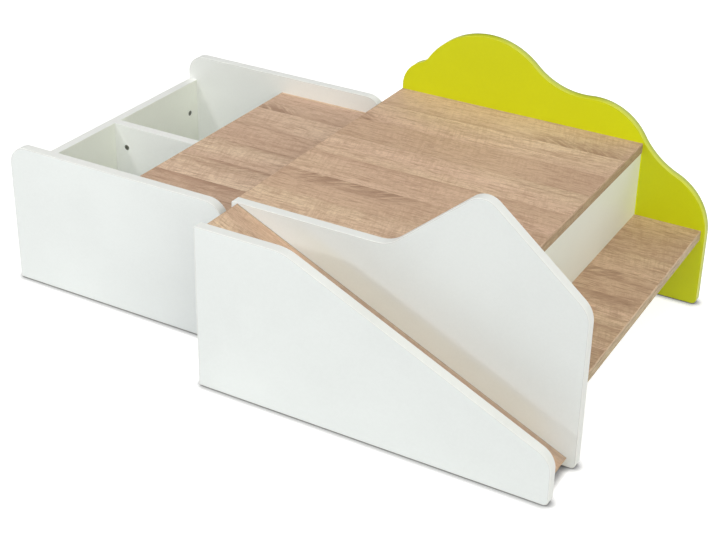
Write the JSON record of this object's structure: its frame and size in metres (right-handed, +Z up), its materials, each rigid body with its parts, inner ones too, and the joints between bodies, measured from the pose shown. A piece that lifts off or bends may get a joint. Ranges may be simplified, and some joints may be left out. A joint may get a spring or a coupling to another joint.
{
  "type": "kids storage table",
  "caption": "Low nursery table with a cloud-shaped back panel, a hill-shaped side panel, a ball ramp, a step, and a storage box that pulls out from under the top.",
  "frame": {"origin": "middle of the whole footprint at floor level, with the storage box pulled out as in the picture", "axes": "+X along the table from the storage box towards the step, +Y from the ramp side towards the cloud-shaped back panel, +Z up"},
  "size_m": [1.52, 0.957, 0.588],
  "materials": {
    "white_board": "white melamine-faced board, fine satin grain, matching rounded edge band",
    "lime_board": "lime green melamine-faced board, satin, matching rounded edge band",
    "oak_board": "light oak decor with planked grain along the table, satin",
    "oak_edge": "oak decor edge band, a little darker, fine grain",
    "zinc": "zinc-plated, dull",
    "beech": "plain beech",
    "grey_plastic": "moulded, matt"
  },
  "bodies": {
    "table": {"ramp_side_panel": "white_board", "hill_panel": "white_board", "cloud_back_panel": "lime_board", "table_top": "oak_board", "table_top_bands": "oak_edge", "riser_panel": "white_board", "step_shelf": "oak_board", "step_shelf_band": "oak_edge", "ramp_board": "oak_board", "ramp_bands": "oak_edge", "table_cams": "zinc", "table_cam_bolts": "zinc", "table_dowels": "beech", "table_glides": "grey_plastic"},
    "storage_box": {"box_front_side": "white_board", "box_back_side": "white_board", "box_end_panel": "white_board", "box_inner_panel": "white_board", "box_divider": "white_board", "box_bottom": "white_board", "box_top": "oak_board", "box_top_bands": "oak_edge", "box_cams": "zinc", "box_cam_bolts": "zinc", "box_dowels": "beech", "box_glides": "grey_plastic"}
  },
  "joints": [
    {"name": "box_slide", "type": "slide", "parent": "table", "child": "storage_box", "axis": [1, 0, 0], "range_m": [0, 0.67]}
  ]
}
